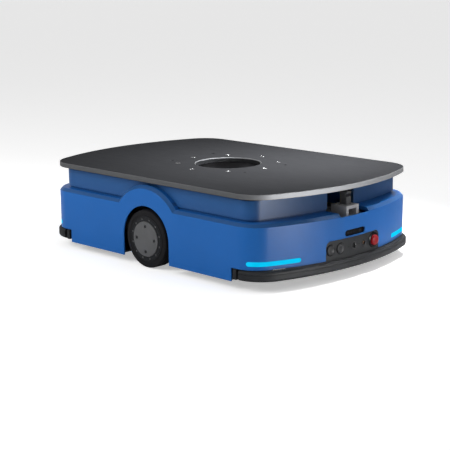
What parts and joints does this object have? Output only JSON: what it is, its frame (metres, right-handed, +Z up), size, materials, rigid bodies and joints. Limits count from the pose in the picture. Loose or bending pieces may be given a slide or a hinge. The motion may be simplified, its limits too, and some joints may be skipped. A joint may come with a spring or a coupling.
{
  "type": "autonomous mobile robot",
  "caption": "Low wheeled robot with a rising, turning load deck over a moulded body, two sprung drive wheels, swivel casters and a wrap-round bumper at each end.",
  "frame": {"origin": "on the floor, under the middle of the body", "axes": "+X to the end with the control panel and scanner, +Z up, so +Y is the robot's left"},
  "size_m": [0.954, 0.6438, 0.25],
  "materials": {
    "deck_black": "fine-textured black anodised plate",
    "shell_blue": "satin moulded shell, blue",
    "cover_dark": "matt black sheet",
    "bright_steel": "machined",
    "gear_steel": "oiled gear steel",
    "carriage_alloy": "milled plate",
    "bronze_nut": "bronze nut",
    "motor_black": "satin black motor housing",
    "gearbox_grey": "cast housing",
    "arm_grey": "powder coated",
    "frame_grey": "powder coated",
    "belt_rubber": "toothed belt",
    "bumper_rubber": "satin black bumper",
    "tyre_black": "polyurethane tread",
    "disc_black": "black anodised disc",
    "hub_grey": "mid grey cap",
    "caster_tread": "grey polyurethane",
    "cap_grey": "end block",
    "light_cyan": "lit diffuser",
    "panel_black": "satin control panel",
    "button_dark": "push button",
    "switch_dark": "switch and port",
    "collar_black": "black collar",
    "estop_red": "red mushroom head",
    "camera_black": "dark window",
    "bracket_grey": "light grey bracket",
    "scanner_dark": "scanner housing",
    "battery_grey": "battery case",
    "electronics_grey": "folded box",
    "copper_contact": "contact bar"
  },
  "bodies": {
    "chassis": {"base_plate": "frame_grey", "lower_shell": "shell_blue", "upper_shell": "shell_blue", "top_cover": "cover_dark", "frame_rails": "frame_grey", "caster_plates": "frame_grey", "guide_posts": "bright_steel", "lift_gearmotor": "motor_black", "front_screw_bearing": "gearbox_grey", "lift_belt": "belt_rubber", "bumper_end_caps": "cap_grey", "corner_lights": "light_cyan", "control_panel": "panel_black", "estop_collar": "collar_black", "service_port": "switch_dark", "depth_camera": "camera_black", "scanner_bracket": "bracket_grey", "front_scanner": "scanner_dark", "controller_box": "electronics_grey", "battery_pack": "battery_grey", "charge_block": "collar_black", "charge_contacts": "copper_contact", "down_camera": "camera_black"},
    "lift": {"lift_carriage": "carriage_alloy", "lift_nuts": "bronze_nut", "bearing_inner_ring": "bright_steel", "up_camera": "camera_black", "rotary_motor": "motor_black"},
    "deck": {"load_plate": "deck_black", "ring_gear": "gear_steel", "deck_bolts": "bright_steel"},
    "pinion": {"rotary_pinion": "gear_steel"},
    "rear_screw": {"rear_lift_screw": "bright_steel"},
    "front_screw": {"front_lift_screw": "bright_steel"},
    "front_bumper_bar": {"front_bumper": "bumper_rubber"},
    "rear_bumper_bar": {"rear_bumper": "bumper_rubber"},
    "start": {"start_button": "button_dark"},
    "reset": {"reset_button": "button_dark"},
    "estop": {"estop_button": "estop_red"},
    "key": {"key_switch": "switch_dark"},
    "left_drive": {"left_drive_arm": "arm_grey", "left_gearbox": "gearbox_grey", "left_drive_motor": "motor_black"},
    "left_wheel": {"left_tyre": "tyre_black", "left_wheel_disc": "disc_black", "left_hub_cap": "hub_grey"},
    "right_drive": {"right_drive_arm": "arm_grey", "right_gearbox": "gearbox_grey", "right_drive_motor": "motor_black"},
    "right_wheel": {"right_tyre": "tyre_black", "right_wheel_disc": "disc_black", "right_hub_cap": "hub_grey"},
    "front_left_swivel": {"front_left_caster_fork": "bright_steel"},
    "front_left_roller": {"front_left_caster_wheel": "caster_tread"},
    "front_right_swivel": {"front_right_caster_fork": "bright_steel"},
    "front_right_roller": {"front_right_caster_wheel": "caster_tread"},
    "rear_left_swivel": {"rear_left_caster_fork": "bright_steel"},
    "rear_left_roller": {"rear_left_caster_wheel": "caster_tread"},
    "rear_right_swivel": {"rear_right_caster_fork": "bright_steel"},
    "rear_right_roller": {"rear_right_caster_wheel": "caster_tread"}
  },
  "joints": [
    {"name": "deck_lift", "type": "slide", "parent": "chassis", "child": "lift", "axis": [0, 0, 1], "range_m": [0, 0.06]},
    {"name": "deck_turn", "type": "hinge", "parent": "lift", "child": "deck", "pos_m": [0, 0, 0.224], "axis": [0, 0, 1], "continuous": true},
    {"name": "pinion_spin", "type": "hinge", "parent": "lift", "child": "pinion", "pos_m": [0.16974, -0.098, 0.222], "axis": [0, 0, 1], "continuous": true},
    {"name": "rear_screw_spin", "type": "hinge", "parent": "chassis", "child": "rear_screw", "pos_m": [-0.2, 0, 0.12], "axis": [0, 0, 1], "range_deg": [0, 2160]},
    {"name": "front_screw_spin", "type": "hinge", "parent": "chassis", "child": "front_screw", "pos_m": [0.2, 0, 0.12], "axis": [0, 0, 1], "range_deg": [0, 2160]},
    {"name": "left_suspension", "type": "hinge", "parent": "chassis", "child": "left_drive", "pos_m": [0.15, 0.256, 0.062], "axis": [0, 1, 0], "range_deg": [-2.5, 2.5], "stiffness_Nm_per_rad": 4000, "springref_deg": 0.57},
    {"name": "left_wheel_spin", "type": "hinge", "parent": "left_drive", "child": "left_wheel", "pos_m": [0, 0.295, 0.08], "axis": [0, 1, 0], "continuous": true},
    {"name": "right_suspension", "type": "hinge", "parent": "chassis", "child": "right_drive", "pos_m": [0.15, -0.256, 0.062], "axis": [0, 1, 0], "range_deg": [-2.5, 2.5], "stiffness_Nm_per_rad": 4000, "springref_deg": 0.57},
    {"name": "right_wheel_spin", "type": "hinge", "parent": "right_drive", "child": "right_wheel", "pos_m": [0, -0.295, 0.08], "axis": [0, 1, 0], "continuous": true},
    {"name": "front_left_swivel_turn", "type": "hinge", "parent": "chassis", "child": "front_left_swivel", "pos_m": [0.34, 0.205, 0.085], "axis": [0, 0, 1], "continuous": true},
    {"name": "front_left_roller_spin", "type": "hinge", "parent": "front_left_swivel", "child": "front_left_roller", "pos_m": [0.315, 0.205, 0.0375], "axis": [0, 1, 0], "continuous": true},
    {"name": "front_right_swivel_turn", "type": "hinge", "parent": "chassis", "child": "front_right_swivel", "pos_m": [0.34, -0.205, 0.085], "axis": [0, 0, 1], "continuous": true},
    {"name": "front_right_roller_spin", "type": "hinge", "parent": "front_right_swivel", "child": "front_right_roller", "pos_m": [0.315, -0.205, 0.0375], "axis": [0, 1, 0], "continuous": true},
    {"name": "rear_left_swivel_turn", "type": "hinge", "parent": "chassis", "child": "rear_left_swivel", "pos_m": [-0.34, 0.205, 0.085], "axis": [0, 0, 1], "continuous": true},
    {"name": "rear_left_roller_spin", "type": "hinge", "parent": "rear_left_swivel", "child": "rear_left_roller", "pos_m": [-0.365, 0.205, 0.0375], "axis": [0, 1, 0], "continuous": true},
    {"name": "rear_right_swivel_turn", "type": "hinge", "parent": "chassis", "child": "rear_right_swivel", "pos_m": [-0.34, -0.205, 0.085], "axis": [0, 0, 1], "continuous": true},
    {"name": "rear_right_roller_spin", "type": "hinge", "parent": "rear_right_swivel", "child": "rear_right_roller", "pos_m": [-0.365, -0.205, 0.0375], "axis": [0, 1, 0], "continuous": true},
    {"name": "front_bumper_press", "type": "slide", "parent": "chassis", "child": "front_bumper_bar", "axis": [-1, 0, 0], "range_m": [0, 0.006], "stiffness_N_per_m": 3000},
    {"name": "rear_bumper_press", "type": "slide", "parent": "chassis", "child": "rear_bumper_bar", "axis": [1, 0, 0], "range_m": [0, 0.006], "stiffness_N_per_m": 3000},
    {"name": "start_press", "type": "slide", "parent": "chassis", "child": "start", "axis": [-1, 0, 0], "range_m": [0, 0.003], "stiffness_N_per_m": 800},
    {"name": "reset_press", "type": "slide", "parent": "chassis", "child": "reset", "axis": [-1, 0, 0], "range_m": [0, 0.003], "stiffness_N_per_m": 800},
    {"name": "estop_press", "type": "slide", "parent": "chassis", "child": "estop", "axis": [-1, 0, 0], "range_m": [0, 0.005]},
    {"name": "key_turn", "type": "hinge", "parent": "chassis", "child": "key", "pos_m": [0.465, -0.005, 0.084], "axis": [1, 0, 0], "range_deg": [0, 90]}
  ],
  "couplings": [
    {"joint": "pinion_spin", "follows": "deck_turn", "ratio": -5.125},
    {"joint": "rear_screw_spin", "follows": "deck_lift", "rad_per_m": 628.3},
    {"joint": "front_screw_spin", "follows": "deck_lift", "rad_per_m": 628.3}
  ]
}
